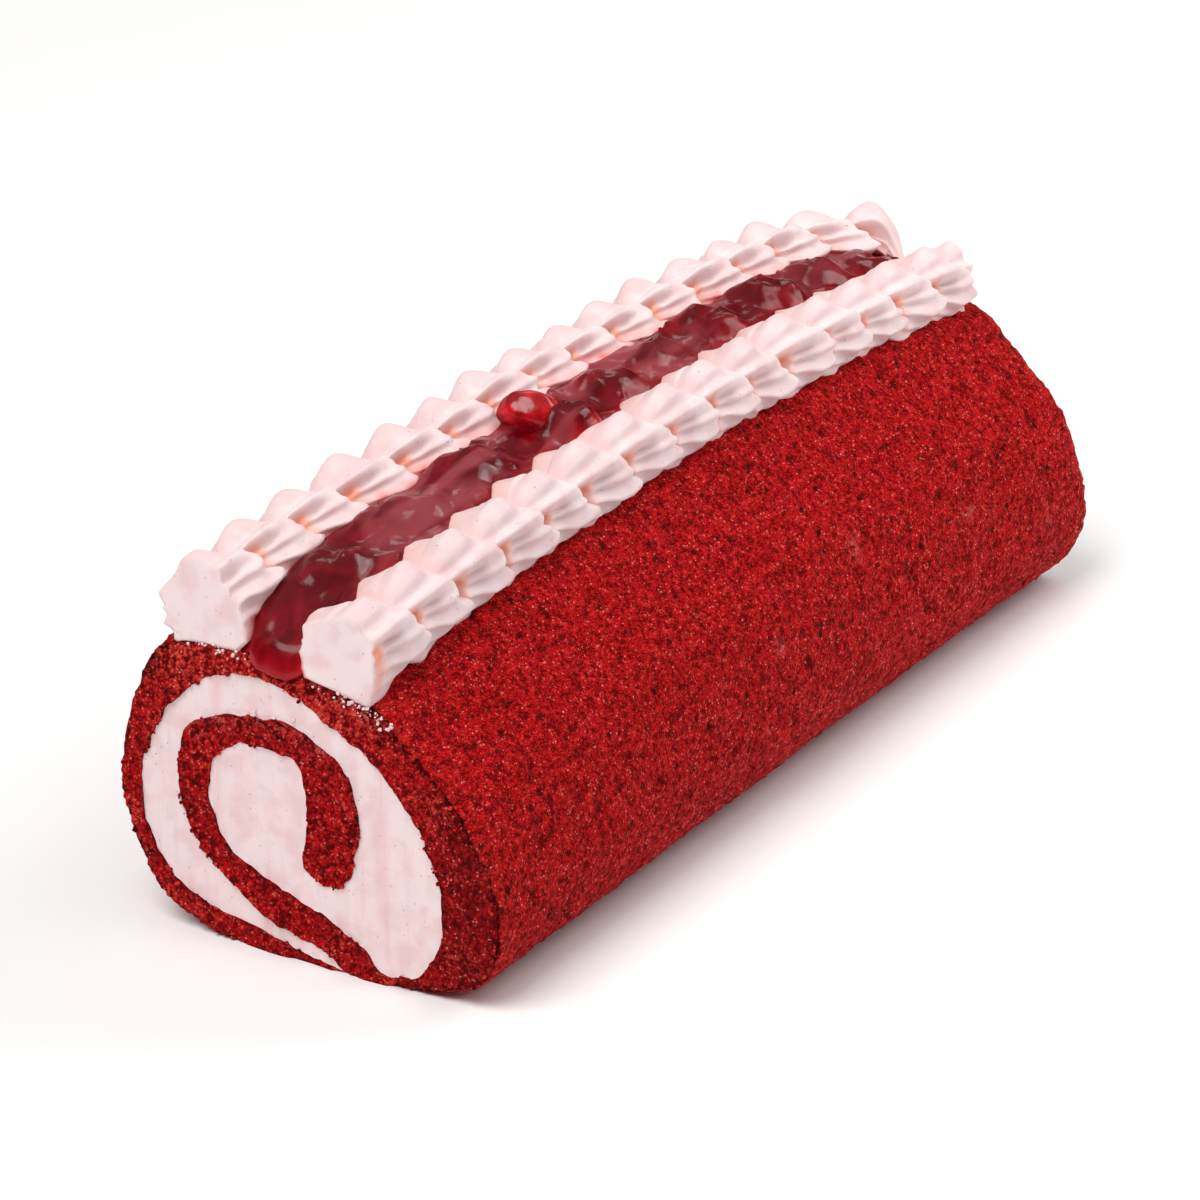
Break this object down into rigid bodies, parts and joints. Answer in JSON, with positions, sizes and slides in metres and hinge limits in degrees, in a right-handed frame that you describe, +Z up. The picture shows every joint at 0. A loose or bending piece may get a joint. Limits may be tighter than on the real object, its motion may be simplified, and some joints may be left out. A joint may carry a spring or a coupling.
{
  "type": "swiss roll cake",
  "caption": "Red sponge swiss roll with pink cream spiral, two piped cream borders and a strip of fruit sauce along its top.",
  "frame": {"origin": "middle of the foot of the bounding box", "axes": "+X along the roll away from the cut face that the picture shows, +Z up, +Y to the left seen from that face's camera side"},
  "size_m": [0.25, 0.094, 0.0891],
  "materials": {
    "sponge": "matt crumb",
    "cream": "soft, cut with a knife",
    "piped_cream": "soft satin",
    "sauce": "glossy, wet",
    "fruit": "glossy, wet"
  },
  "bodies": {
    "root": {"sponge": "sponge", "filling": "cream", "border_right": "piped_cream", "border_left": "piped_cream", "sauce": "sauce", "fruit_piece": "fruit"}
  },
  "joints": []
}
